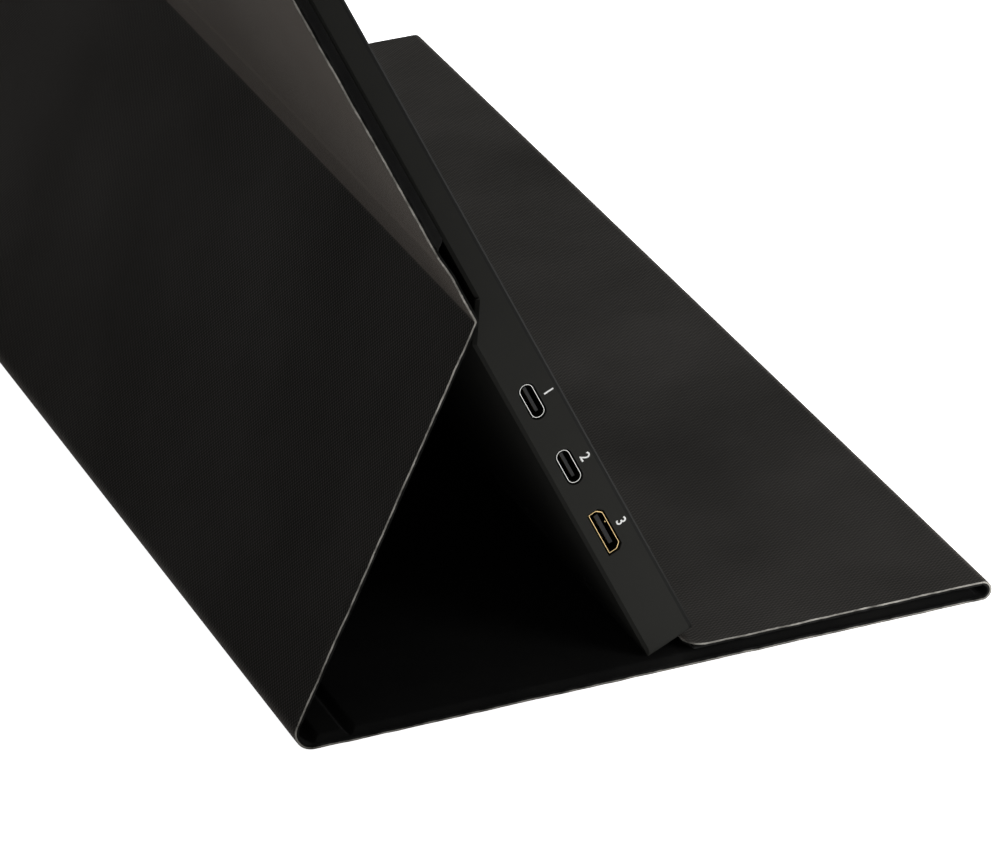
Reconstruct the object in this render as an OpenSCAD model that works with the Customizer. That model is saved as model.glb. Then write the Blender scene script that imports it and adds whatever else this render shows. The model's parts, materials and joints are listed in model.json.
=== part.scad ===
// Portable monitor standing in its folding cover.
// +X runs along the screen's width to the user's right, the screen faces -Y, +Z is up.
// The origin is the middle of the base panel's underside.

/* [Monitor] */
// Width of the monitor
monitor_w = 352; // [300:1:400]
// Height of the monitor along its own face
monitor_h = 218; // [190:1:250]
// Thickness of the lower part, which holds the electronics
thick_t = 12; // [11.8:0.1:16]
// Depth of the step from the lower part down to the thin upper part
step_d = 5.4; // [4.5:0.1:5.8]
// Height of the thick lower part
thick_h = 92.7; // [88:0.1:105]
// Length of the slope between the thick and the thin part
slope_run = 9.2; // [8:0.1:12]
// Radius of the face's four corners
corner_r = 3; // [1.5:0.1:6]
// Chamfer along the rear edges
rear_chamfer = 0.8; // [0.3:0.1:1.2]
// Wall of the rear housing
wall = 1.5; // [1.2:0.1:1.8]
// Wall of the rear housing's two sides
side_wall = 1.2; // [0.9:0.1:1.4]

/* [Screen] */
// Width of the bezel beside the lit area
side_border = 3.9; // [3.8:0.1:12]
// Height of the bezel above the lit area
top_border = 7.6; // [6:0.1:14]
// Height of the bezel below the lit area
chin_h = 16.8; // [14:0.1:24]
// Thickness of the bezel frame
bezel_t = 1; // [0.8:0.1:1.4]
// Chamfer round the bezel's front edge
bezel_chamfer = 0.4; // [0.2:0.1:0.6]
// Dark border of the glass beside and above the lit area
glass_border = 1.9; // [1:0.1:2.2]
// Ledge of the glass below the lit area, where the drivers sit
glass_ledge = 8; // [5:0.1:9]
// Thickness of the glass cell
glass_t = 1.1; // [0.8:0.1:1.3]
// Thickness of the stack of diffuser films
films_t = 0.4; // [0.2:0.1:0.6]
// Thickness of the light guide
guide_t = 0.8; // [0.6:0.1:1]
// Sheet thickness of the backlight tray
tray_t = 0.4; // [0.3:0.1:0.5]

/* [Sockets] */
// Height of the lowest socket above the monitor's lower edge
socket_low_z = 35; // [30:0.5:40]
// Distance from one socket to the next
socket_pitch = 19; // [16:0.5:22]
// Depth of the sockets' centre line behind the screen's front face
socket_depth = 6.8; // [6.6:0.1:7.1]
// Length of the two small sockets' oval shell
oval_l = 8.94; // [8.5:0.01:9.5]
// Width of the two small sockets' oval shell
oval_w = 3.26; // [3:0.01:3.4]
// Length of the wide socket's shell
wide_l = 11.2; // [10.5:0.1:12]
// Width of the wide socket's shell
wide_w = 3.2; // [3:0.1:3.4]
// Corner cut on the narrow side of the wide socket
wide_cut = 1.1; // [0.6:0.1:1.4]
// Sheet thickness of the socket shells
shell_t = 0.3; // [0.2:0.05:0.4]
// Depth of a socket shell
shell_l = 7.4; // [6.5:0.1:9]
// Gap round a socket in the housing
socket_gap = 0.35; // [0.25:0.05:0.6]
// Distance of the socket mouths behind the side face
socket_recess = 0.35; // [0.2:0.05:0.6]
// Radius of the headphone socket's bore
jack_r = 1.8; // [1.7:0.05:1.9]
// Depth of the headphone socket's bore
jack_l = 12; // [10:0.5:14]

/* [Buttons] */
// Length of the power button
button_l = 10; // [8:0.5:12]
// Width of the power button
button_w = 2.8; // [2.4:0.1:3.2]
// Travel of the power button
button_travel = 0.4; // [0.3:0.05:0.6]
// Length of the menu rocker
rocker_l = 12; // [10:0.5:13]
// Height of the buttons above the side face
button_rise = 0.7; // [0.5:0.1:1]
// Gap round a button
button_gap = 0.3; // [0.2:0.05:0.4]
// Radius of the rocker's pin
pin_r = 0.8; // [0.6:0.1:1]
// Running clearance of the rocker's pin
pin_clear = 0.05; // [0.03:0.01:0.08]

/* [Cover] */
// How far the cover stands out past the monitor all round
overhang = 2.5; // [1.5:0.1:4]
// Thickness of the outer skin, and of the lining
skin_t = 0.5; // [0.4:0.05:0.7]
// Thickness of the stiffening boards
board_t = 1.2; // [0.8:0.1:1.4]
// Thickness of the upper panel's board, which holds the magnets
upper_board_t = 2.3; // [2:0.1:3]
// Width of the stitched-down edge that has no board in it
margin_w = 2.3; // [2:0.1:3.5]
// Width of the slope where the lining steps down round a board
lining_slope = 1.5; // [1.2:0.1:1.9]
// Radius of the cover's outer corners
cover_r = 5; // [3:0.5:8]
// Length of the whole base from the front fold to the rear fold
base_l = 165.8; // [160:0.1:172]
// Gap along the base from the folded flap's end to the monitor's underside
flap_clear = 1.9; // [1.7:0.05:6]
// Gap between the folded flap and the base
flap_gap = 0.3; // [0.2:0.05:0.5]
// Bend radius of the rear fold at the middle of the sheet
rear_fold_r = 3.9; // [3:0.1:4.5]
// Distance of the spine's crease from the rear fold's outer face
spine_w = 13; // [12:0.5:15]
// Half width of the pressed crease beside the spine
crease_half = 1.6; // [1.5:0.1:2]
// Length of soft sheet left above the monitor's slope for the upper fold
fold_room = 14.8; // [12:0.1:20]

/* [Stand] */
// Angle that the monitor leans back from upright
lean = 24.3; // [20:0.1:27]
// Angle between the leg panel and the base
leg_angle = 62.5; // [60:0.1:66]
// Air left where two panels or a panel and the monitor meet
rest_gap = 0.03; // [0.02:0.01:0.05]
// Height of the leg's pivot above the thick lower part
apex_rise = 2.3; // [1.8:0.1:3]
// Gap between the leg and the monitor's back when they lie flat together
flat_gap = 0.2; // [0.15:0.05:0.4]

/* [Hidden] */
$fn = 48;
eps = 0.01;

// Sizes that follow from the ones above
cover_w = monitor_w + 2 * overhang;
panel_t = board_t + 2 * skin_t;
sheet_t = 2 * skin_t;
glue_z = skin_t;
base_half = base_l / 2;
front_face = -thick_t;
side_x = monitor_w / 2;
view_w = monitor_w - 2 * side_border;
view_h = monitor_h - chin_h - top_border;
thin_back = -step_d;
slope_top = thick_h + slope_run;
slope_angle = atan(step_d / slope_run);

// Each panel is placed by the plane where its skin is glued to what lies inside it.
// The rear fold ends the base, and the leg's glue plane meets the base's at this corner
rear_turn = 180 - leg_angle;
rear_tangent = rear_fold_r * tan(rear_turn / 2);
rear_end = base_half - rear_fold_r - sheet_t / 2;
corner_y = rear_end + rear_tangent;

// The leg turns on the monitor at a point of its glue plane, just behind the slope
apex_y = flat_gap + skin_t + board_t;
apex_z = thick_h + apex_rise;
// The lowest point of the chamfered foot stands on the base's lining
foot_z = panel_t + rest_gap - rear_chamfer * sin(lean);
apex_h = foot_z - apex_y * sin(lean) + apex_z * cos(lean);
apex_world = [corner_y - (apex_h - glue_z) / tan(leg_angle), apex_h];
foot_y = apex_world.x - apex_y * cos(lean) - apex_z * sin(lean);
leg_full = (apex_h - glue_z) / sin(leg_angle);

// The flap lies on the base, turned over about the front fold
flap_top = 2 * panel_t + flap_gap;
flap_glue = flap_top - skin_t;
front_fold_r = (flap_glue - glue_z) / 2;
front_end = -base_half + front_fold_r + sheet_t / 2;
front_centre = [front_end, glue_z + front_fold_r];
base_sheet_l = rear_end - front_end;
flap_l = foot_y - (flap_top - foot_z) / tan(lean) - flap_clear - front_end;
spine_crease = base_half - spine_w - front_end;

// The leg's sheets run from the rear fold to a little short of the apex
apex_short = 3;
leg_sheet_l = leg_full - rear_tangent - apex_short;

// The upper panel lies on the monitor's thin back
upper_start = slope_top + fold_room;
upper_glue = thin_back + rest_gap + skin_t + upper_board_t;
upper_l = monitor_h + overhang - upper_start;

// Screen layers, from the front face back
glass_front = front_face + bezel_t;
films_front = glass_front + glass_t;
guide_front = films_front + films_t;
tray_front = guide_front + guide_t;
tray_back = tray_front + tray_t;
glass_w = view_w + 2 * glass_border;
glass_z = chin_h - glass_ledge;
glass_h = view_h + glass_ledge + glass_border;
film_past = 0.5;
led_h = 2.3;
led_gap = 0.2;
guide_z = glass_z + tray_t + led_h + 2 * led_gap;

// Electronics
fit = 0.1;
socket_y = front_face + socket_depth;
socket_z = [for (i = [0:2]) socket_low_z + i * socket_pitch];
tongue_back = 1;
board_front = socket_y + oval_w / 2;
pcb_t = 1.2;
board_back = board_front + pcb_t;
board_gap = 1.2;
board_w = 115.6;
board_below = 16;
board_above = 12;
board_x = [for (d = [0, board_w]) -side_x + side_wall + board_gap + d];
board_z = [socket_z[0] - board_below, socket_z[2] + board_above];
board_hole_r = 1.2;
board_head_r = 1.8;
board_head_t = 0.7;
boss_r = 2.1;
boss_hole_r = 0.9;
boss_sink = 0.6;
fix_in = 4;
fix_behind = 14;
function corners(xs, zs) = [for (x = xs) for (z = zs) [x, z]];
board_fix_z = [board_z[0] + fix_in, board_z[1] - fix_in];
board_fix = corners([board_x[0] + fix_behind, board_x[1] - fix_in], board_fix_z);
chip_w = 16;
chip_t = 1;

// Right-hand side, seen by the user
jack_z = socket_z[0];
rocker_z = socket_z[1];
button_z = socket_z[2];
jack_collar_r = jack_r + 0.7;
flange_t = 0.8;
flange_lip = 0.8;
touch = 0.05;
flange_x = side_x - side_wall - touch - flange_t;
rocker_in = 5;
rocker_axis_x = side_x - rocker_in;
rocker_swing = 0.35;
rocker_slot = button_gap + rocker_swing;
rocker_hub_r = pin_r + 0.7;
rocker_hub_w = button_w;
ear_t = 0.8;
ear_gap = 0.1;
button_pcb_w = 14.8;
button_pcb_gap = 1;
button_pcb_below = 12;
button_pcb_above = 10;
button_pcb_x = [for (d = [button_pcb_w, 0]) side_x - side_wall - button_pcb_gap - d];
button_pcb_z = [rocker_z - button_pcb_below, button_z + button_pcb_above];
button_pcb_front = socket_y + rocker_hub_w / 2 + ear_gap + ear_t;
button_pcb_t = 1;
button_fix_in = 3;
button_fix_z = [button_pcb_z[0] + button_fix_in, button_pcb_z[1] - button_fix_in];
button_fix = corners([button_pcb_x[0] + button_fix_in], button_fix_z);

// Case screws go through the rear wall into posts behind the chin
case_outer_in = 31;
case_inner_in = 126;
case_x = [for (s = [-1, 1]) for (d = [case_outer_in, case_inner_in]) s * (side_x - d)];
case_z = 5.4;
post_r = 2.2;
screw_head_r = 1.9;
screw_head_t = 0.9;
screw_r = 0.85;
screw_l = 6;
screw_gap = 0.2;

// Speakers and their slots
speaker_in = 66;
speaker_x = side_x - speaker_in;
speaker_w = 44;
speaker_t = 5;
speaker_h = 14;
speaker_r = 2;
speaker_z = 3.5;
cone_r = 5.5;
cone_depth = 0.8;
slot_n = 9;
slot_pitch = 3.4;
slot_w = 1.2;
slot_h = 7;

// Magnets in the cover and the steel they hold to
magnet_in = 71;
magnet_x = [for (s = [-1, 1]) s * (side_x - magnet_in)];
magnet_w = 60;
magnet_h = 10;
magnet_below = 40;
magnet_z = upper_l - magnet_below;
plate_t = 0.5;
plate_w = 70;
plate_h = 16;
flap_magnet_in = 58.5;
flap_magnet_up = 12;
flap_magnet_r = 5;
pocket_gap = 0.2;

black = "#1f1f1e";
skin_colour = "#2b2a28";
lining_colour = "#101010";
board_colour = "#9a8f7c";

// Frames of the moving parts
module on_monitor() {
  translate([0, foot_y, foot_z]) rotate([-lean, 0, 0]) children();
}
module on_upper() {
  on_monitor() translate([0, upper_glue, upper_start]) children();
}
module on_leg() {
  translate([0, corner_y, glue_z]) rotate([90 - leg_angle, 0, 0]) translate([0, 0, rear_tangent]) children();
}
module on_base() {
  translate([0, front_end, glue_z]) rotate([-90, 0, 0]) children();
}
module on_flap() {
  translate([0, front_end + flap_l, flap_glue]) rotate([90, 0, 0]) children();
}

// A plan drawn in X and Z, made solid from y0 to y1
module slab(y0, y1) {
  translate([0, y1, 0]) rotate([90, 0, 0]) linear_extrude(y1 - y0) children();
}
// A section drawn in Y and Z, made solid over a width about X = 0
module across(width) {
  translate([-width / 2, 0, 0]) rotate([90, 0, 90]) linear_extrude(width) children();
}
// A section drawn in Y and Z, made solid from x0 to x1
module along(x0, x1) {
  translate([x0, 0, 0]) rotate([90, 0, 90]) linear_extrude(x1 - x0) children();
}
// A panel outline from z = z0 to z1, with its lower and upper corners rounded
module plan(w, z0, z1, r0 = 0, r1 = 0) {
  difference() {
    translate([-w / 2, z0]) square([w, z1 - z0]);
    for (s = [-1, 1]) {
      if (r0 > 0) corner_cut(s * w / 2, z0, -s, 1, r0);
      if (r1 > 0) corner_cut(s * w / 2, z1, -s, -1, r1);
    }
  }
}
// The piece to take off a square corner at x, z, whose material lies towards dx, dz
module corner_cut(x, z, dx, dz, r) {
  translate([x, z]) scale([dx, dz]) difference() {
    translate([-1, -1]) square(r + 1);
    translate([r, r]) circle(r);
  }
}
// A pill-shaped outline in Y and Z, long along Z
module pill(w, l) {
  square([w, l - w], center = true);
  for (s = [-1, 1]) translate([0, s * (l - w) / 2]) circle(d = w);
}

// The sheets of a panel from its glue plane out, and the lining sunk round its boards.
// boards is a list of [z0, z1], and t is the boards' thickness
module skin(l, r0, r1) {
  slab(0, skin_t) plan(cover_w, 0, l, r0, r1);
}
module lining(l, boards, t, r0, r1) {
  difference() {
    union() {
      slab(-skin_t, 0) plan(cover_w, 0, l, r0, r1);
      for (b = boards) lining_tray(b, t);
    }
    for (b = boards) slab(-t, eps) board_plan(b, 0);
  }
}
module lining_tray(b, t) {
  hull() {
    slab(-skin_t, eps - skin_t) board_plan(b, lining_slope);
    slab(-t - skin_t, eps - t - skin_t) board_plan(b, lining_wrap);
  }
}
module stiffener(b, t) {
  slab(-t, 0) board_plan(b, 0);
}
module board_plan(b, grow) {
  r = board_corner_r + grow;
  plan(cover_w - 2 * margin_w + 2 * grow, b[0] - grow, b[1] + grow, r, r);
}

// Where the boards lie in each panel
board_corner_r = 1;
lining_wrap = 0.3;
spine_edge = 1.6;
upper_boards = [[margin_w, upper_l - margin_w]];
leg_boards = [[margin_w, leg_sheet_l - margin_w]];
base_boards = [[margin_w, spine_crease - crease_half]];
spine_boards = [[spine_crease + crease_half, base_sheet_l - spine_edge]];
flap_boards = [[margin_w, flap_l - margin_w]];

// A strip of sheet along a path in Y and Z, with mitred bends
function unit(v) = v / norm(v);
function left(v) = [-v.y, v.x];
function side_point(p, i, d) =
  let(a = i == 0 ? unit(p[1] - p[0]) : unit(p[i] - p[i - 1]))
  let(b = i == len(p) - 1 ? a : unit(p[i + 1] - p[i]))
  let(n = unit(left(a) + left(b)))
  p[i] + n * d / (n * left(a));
module strip(path, t) {
  polygon(concat(
    [for (i = [0:len(path) - 1]) side_point(path, i, t / 2)],
    [for (i = [len(path) - 1:-1:0]) side_point(path, i, -t / 2)]
  ));
}
// A bent strip about a centre, from angle a0 to a1
module bend(centre, r, t, a0, a1) {
  far = 3 * (r + t);
  translate(centre) intersection() {
    difference() {
      circle(r + t / 2);
      circle(r - t / 2);
    }
    polygon(concat([[0, 0]], [for (k = [0:4]) let(a = a0 + k * (a1 - a0) / 4) far * [cos(a), sin(a)]]));
  }
}

// Monitor: housing
inner_shift = wall * tan(slope_angle / 2);
seam_y = front_face + bezel_t;
module housing_profile() {
  polygon([
    [seam_y, 0], [-rear_chamfer, 0], [0, rear_chamfer], [0, thick_h],
    [thin_back, slope_top], [thin_back, monitor_h - rear_chamfer],
    [thin_back - rear_chamfer, monitor_h], [seam_y, monitor_h]
  ]);
}
module housing_room() {
  polygon([
    [seam_y - 1, wall], [-wall, wall], [-wall, thick_h - inner_shift],
    [thin_back - wall, slope_top - inner_shift], [thin_back - wall, monitor_h - wall],
    [seam_y - 1, monitor_h - wall]
  ]);
}
module edge_bevel(a, b) {
  d = b - a;
  c = rear_chamfer;
  translate([0, a.x, a.y]) rotate([-atan2(d.x, d.y), 0, 0]) linear_extrude(norm(d))
    for (s = [-1, 1]) scale([s, 1]) polygon([[side_x - c - 1, 1], [side_x + 1, 1], [side_x + 1, -c - 1]]);
}
module wide_outline(grow) {
  w = wide_w / 2 + grow;
  l = wide_l / 2 + grow;
  c = wide_cut;
  polygon([[w, -l], [w, l], [-w + c, l], [-w, l - c], [-w, -l + c], [-w + c, -l]]);
}
module left_cuts() {
  for (i = [1, 2]) along(-side_x - 1, -side_x + wall + 1)
    translate([socket_y, socket_z[i]]) pill(oval_w + 2 * socket_gap, oval_l + 2 * socket_gap);
  along(-side_x - 1, -side_x + wall + 1) translate([socket_y, socket_z[0]]) wide_outline(socket_gap);
}
module right_cuts() {
  along(side_x - wall - 1, side_x + 1) {
    translate([socket_y, button_z]) pill(button_w + 2 * button_gap, button_l + 2 * button_gap);
    translate([socket_y, rocker_z]) pill(button_w + 2 * button_gap, rocker_l + 2 * rocker_slot);
    translate([socket_y, jack_z]) circle(jack_collar_r + fit);
  }
}
module speaker_slots() {
  for (s = [-1, 1]) for (i = [0:slot_n - 1])
    translate([s * speaker_x + (i - (slot_n - 1) / 2) * slot_pitch, -wall / 2, speaker_z + speaker_h / 2])
      cube([slot_w, 2 * wall, slot_h], center = true);
}
// A screw boss that stands on the rear wall and carries a board's back face at y
module board_boss(f, y) {
  translate([f.x, -wall, f.y]) rotate([90, 0, 0]) difference() {
    translate([0, 0, -eps]) cylinder(r = boss_r, h = -y - wall + eps);
    translate([0, 0, -boss_sink]) cylinder(r = boss_hole_r, h = thick_t);
  }
}
module rear_housing() {
  color(black) on_monitor() {
    difference() {
      intersection() {
        across(monitor_w) housing_profile();
        slab(seam_y - 1, 1) plan(monitor_w, 0, monitor_h, corner_r, corner_r);
      }
      edge_bevel([0, -1], [0, thick_h + 0.1]);
      edge_bevel([0, thick_h], [thin_back, slope_top]);
      edge_bevel([thin_back, slope_top], [thin_back, monitor_h + 1]);
      across(monitor_w - 2 * side_wall) housing_room();
      left_cuts();
      right_cuts();
      speaker_slots();
      // The screws' blind holes go on into the wall
      for (f = concat(board_fix, button_fix)) translate([f.x, boss_sink - wall, f.y]) rotate([90, 0, 0])
        cylinder(r = boss_hole_r, h = wall);
      for (x = case_x) translate([x, 0, case_z]) rotate([90, 0, 0]) {
        translate([0, 0, -1]) cylinder(r = screw_head_r + screw_gap, h = 1 + screw_head_t);
        cylinder(r = screw_r + screw_gap, h = wall + 1);
      }
    }
    for (f = board_fix) board_boss(f, board_back);
    for (f = button_fix) board_boss(f, button_pcb_front + button_pcb_t);
  }
}

// Monitor: screen
module front_bezel() {
  lip_t = 0.8;
  lip_l = 2;
  lip_in = 30;
  lip_w = monitor_w - 2 * lip_in;
  color(black) on_monitor() {
    difference() {
      union() {
        slab(front_face + bezel_chamfer, seam_y) plan(monitor_w, 0, monitor_h, corner_r, corner_r);
        hull() {
          slab(front_face + bezel_chamfer - eps, front_face + bezel_chamfer)
            plan(monitor_w, 0, monitor_h, corner_r, corner_r);
          slab(front_face, front_face + eps)
            plan(monitor_w - 2 * bezel_chamfer, bezel_chamfer, monitor_h - bezel_chamfer, corner_r, corner_r);
        }
      }
      slab(front_face - 1, seam_y + 1) plan(view_w, chin_h, chin_h + view_h);
    }
    for (z = [wall + fit, monitor_h - wall - fit - lip_t])
      translate([-lip_w / 2, seam_y - eps, z]) cube([lip_w, lip_l, lip_t]);
    for (x = case_x) translate([x, seam_y - eps, case_z]) rotate([-90, 0, 0]) difference() {
      cylinder(r = post_r, h = -wall - touch - seam_y + eps);
      translate([0, 0, -seam_y - screw_head_t - screw_l]) cylinder(r = screw_r + touch, h = thick_t);
    }
  }
}
module lcd_glass() {
  color("#0b0d10") on_monitor()
    slab(glass_front, films_front) plan(glass_w, glass_z, glass_z + glass_h);
}
module lit_plan() {
  plan(view_w + 2 * film_past, guide_z, chin_h + view_h + film_past);
}
module diffuser_films() {
  color("#e9e9e4") on_monitor()
    slab(films_front, guide_front) lit_plan();
}
module light_guide() {
  color("#dfe8ea") on_monitor()
    slab(guide_front, tray_front) lit_plan();
}
module led_strip() {
  led_n = 36;
  led_w = 3;
  tape_h = 0.9;
  color("#f2ead0") on_monitor() translate([0, guide_front, glass_z + tray_t + led_gap]) {
    translate([-view_w / 2, guide_t / 2, 0]) cube([view_w, guide_t / 2, led_h]);
    for (i = [0:led_n - 1]) translate([(i + 0.5 - led_n / 2) * view_w / led_n - led_w / 2, 0, tape_h])
      cube([led_w, guide_t / 2 + eps, led_h - tape_h]);
  }
}
module backlight_tray() {
  color("#b9bcbe") on_monitor() difference() {
    slab(films_front, tray_back) plan(glass_w, glass_z, glass_z + glass_h);
    slab(films_front - 1, tray_front)
      plan(glass_w - 2 * tray_t, glass_z + tray_t, glass_z + glass_h - tray_t);
  }
}

// Monitor: electronics
board_h = board_z[1] - board_z[0];
// A chip placed at parts x and z of the board, its sizes given as parts of the largest chip's
module chip(x, z, w, h, t) {
  translate([board_x[0] + x * board_w, board_front - t * chip_t, board_z[0] + z * board_h])
    cube([w * chip_w, t * chip_t + eps, h * chip_w]);
}
module main_board() {
  color("#1c5a34") on_monitor() {
    difference() {
      translate([board_x[0], board_front, board_z[0]]) cube([board_w, pcb_t, board_h]);
      for (f = board_fix) translate([f.x, 0, f.y]) rotate([90, 0, 0])
        cylinder(r = board_hole_r, h = thick_t);
    }
    chip(0.35, 0.3, 1, 1, 1);
    chip(0.64, 0.21, 0.55, 0.75, 0.9);
    chip(0.6, 0.64, 0.45, 0.45, 1.4);
  }
}
module socket_tube(z) {
  along(-side_x + socket_recess, -side_x + socket_recess + shell_l)
    translate([socket_y, z]) children();
}
module oval_socket_shells() {
  color("silver") on_monitor() for (i = [1, 2]) difference() {
    socket_tube(socket_z[i]) pill(oval_w, oval_l);
    translate([-shell_t, 0, 0]) socket_tube(socket_z[i]) pill(oval_w - 2 * shell_t, oval_l - 2 * shell_t);
  }
}
// A socket's tongue, set back behind the mouth and held in the shell's floor
module tongue(z, w, t, back) {
  translate([-side_x + socket_recess + back, socket_y - t / 2, z - w / 2])
    cube([shell_l - shell_t - back, t, w]);
}
module oval_socket_tongues() {
  tongue_w = 6.69;
  tongue_t = 0.7;
  color("#2a2a2a") on_monitor() for (i = [1, 2]) tongue(socket_z[i], tongue_w, tongue_t, tongue_back);
}
module wide_socket_shell() {
  color("gold") on_monitor() difference() {
    socket_tube(socket_z[0]) wide_outline(0);
    translate([-shell_t, 0, 0]) socket_tube(socket_z[0]) wide_outline(-shell_t);
  }
}
module wide_socket_tongue() {
  tongue_w = 8.1;
  tongue_t = 0.9;
  color("#2a2a2a") on_monitor() tongue(socket_z[0], tongue_w, tongue_t, tongue_back);
}
module headphone_jack() {
  body_h = 6;
  body_back = 3;
  body_front = socket_y - tray_back - fit;
  body_end = side_x - side_wall - fit;
  floor_t = 2;
  mouth_x = side_x - 0.2;
  color("#242424") on_monitor() translate([0, socket_y, jack_z]) difference() {
    union() {
      translate([mouth_x - jack_l - floor_t, -body_front, -body_h / 2])
        cube([body_end - mouth_x + jack_l + floor_t, body_front + body_back, body_h]);
      translate([body_end - 1, 0, 0]) rotate([0, 90, 0])
        cylinder(r = jack_collar_r, h = mouth_x - body_end + 1);
    }
    translate([mouth_x - jack_l, 0, 0]) rotate([0, 90, 0]) cylinder(r = jack_r, h = jack_l + 1);
  }
}
module power_button() {
  color(black) on_monitor() {
    along(flange_x, side_x + button_rise) translate([socket_y, button_z]) pill(button_w, button_l);
    along(flange_x, flange_x + flange_t)
      translate([socket_y, button_z]) pill(button_w + 2 * flange_lip, button_l + 2 * flange_lip);
  }
}
module menu_rocker() {
  cap_past = 0.6;
  stalk_t = 2;
  groove_w = 0.5;
  cap_in = side_x - side_wall - cap_past;
  pin_half = rocker_hub_w / 2 + ear_gap + ear_t - fit;
  color(black) on_monitor() translate([0, socket_y, rocker_z]) {
    difference() {
      union() {
        along(cap_in, side_x + button_rise) pill(button_w, rocker_l);
        translate([rocker_axis_x, -rocker_hub_w / 2, -stalk_t / 2])
          cube([cap_in - rocker_axis_x + eps, rocker_hub_w, stalk_t]);
        translate([rocker_axis_x, rocker_hub_w / 2, 0]) rotate([90, 0, 0])
          cylinder(r = rocker_hub_r, h = rocker_hub_w);
      }
      for (z = [-rocker_l / 4, 0, rocker_l / 4])
        translate([side_x + button_rise, 0, z]) cube([groove_w, button_w + 1, groove_w], center = true);
    }
    translate([rocker_axis_x, pin_half, 0]) rotate([90, 0, 0]) cylinder(r = pin_r, h = 2 * pin_half);
  }
}
module rocker_bracket() {
  ear_y = rocker_hub_w / 2 + ear_gap;
  ear_behind = 3;
  ear_ahead = 1.6;
  ear_h = 4.4;
  web_t = 1;
  color("#3a3a3a") on_monitor() translate([0, socket_y, rocker_z]) difference() {
    union() {
      for (y = [-ear_y - ear_t, ear_y]) translate([rocker_axis_x - ear_behind, y, -ear_h / 2])
        cube([ear_behind + ear_ahead, ear_t, ear_h]);
      translate([rocker_axis_x - ear_behind, -ear_y - ear_t, -ear_h / 2])
        cube([web_t, 2 * (ear_y + ear_t), ear_h]);
    }
    translate([rocker_axis_x, ear_y + ear_t + 1, 0]) rotate([90, 0, 0])
      cylinder(r = pin_r + pin_clear, h = 2 * (ear_y + ear_t + 1));
  }
}
module button_board() {
  color("#1c5a34") on_monitor() difference() {
    translate([button_pcb_x[0], button_pcb_front, button_pcb_z[0]])
      cube([button_pcb_w, button_pcb_t, button_pcb_z[1] - button_pcb_z[0]]);
    for (f = button_fix) translate([f.x, 0, f.y]) rotate([90, 0, 0]) cylinder(r = board_hole_r, h = thick_t);
  }
}
module power_switch() {
  switch_w = 3.5;
  switch_d = 3;
  plunger_l = 1;
  plunger_r = 0.9;
  reach = flange_x - button_travel - touch;
  color("#c9c9c9") on_monitor() {
    translate([reach - plunger_l - switch_d, socket_y - switch_w / 2, button_z - switch_w])
      cube([switch_d, button_pcb_front - socket_y + switch_w / 2, 2 * switch_w]);
    translate([reach - plunger_l - eps, socket_y, button_z]) rotate([0, 90, 0])
      cylinder(r = plunger_r, h = plunger_l + eps);
  }
}
module speakers() {
  color("#303030") on_monitor() for (s = [-1, 1])
    translate([s * speaker_x, -wall, speaker_z]) difference() {
      slab(-speaker_t, 0) plan(speaker_w, 0, speaker_h, speaker_r, speaker_r);
      translate([0, 1, speaker_h / 2]) rotate([90, 0, 0]) cylinder(r = cone_r, h = 1 + cone_depth);
    }
}
module panel_cable() {
  cable_t = 0.2;
  cable_w = 30;
  cable_in = 50;
  cable_lap = 9;
  front = tray_back + cable_t / 2 + touch;
  back = board_front - cable_t / 2 - touch;
  color("#b8873a") on_monitor() translate([board_x[1] - cable_in, 0, 0]) across(cable_w) strip([
    [front, glass_z + 2], [front, board_z[0] - 1],
    [back, board_z[0] + 1.5], [back, board_z[0] + cable_lap]
  ], cable_t);
}
module board_screw(f, y) {
  screw_end = boss_sink - wall - touch - y;
  translate([f.x, y, f.y]) rotate([90, 0, 0]) {
    cylinder(r = board_head_r, h = board_head_t);
    translate([0, 0, -screw_end]) cylinder(r = screw_r, h = screw_end + eps);
  }
}
module board_screws() {
  color("silver") on_monitor() {
    for (f = board_fix) board_screw(f, board_front);
    for (f = button_fix) board_screw(f, button_pcb_front);
  }
}
module case_screws() {
  cross_l = 2.2;
  cross_w = 0.44;
  cross_depth = 0.6;
  head_under = 0.2;
  color("silver") on_monitor() for (x = case_x)
    translate([x, -screw_head_t, case_z]) rotate([90, 0, 0]) difference() {
      union() {
        translate([0, 0, -screw_head_t + head_under])
          cylinder(r = screw_head_r, h = screw_head_t - head_under);
        translate([0, 0, -eps]) cylinder(r = screw_r, h = screw_l);
      }
      for (a = [0, 90]) rotate([0, 0, a]) translate([0, 0, -screw_head_t])
        cube([cross_l, cross_w, 2 * cross_depth], center = true);
    }
}
module holding_plates() {
  color("silver") on_monitor() for (x = magnet_x)
    translate([x, thin_back - wall, upper_start + magnet_z]) slab(-plate_t, 0)
      square([plate_w, plate_h], center = true);
}

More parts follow.
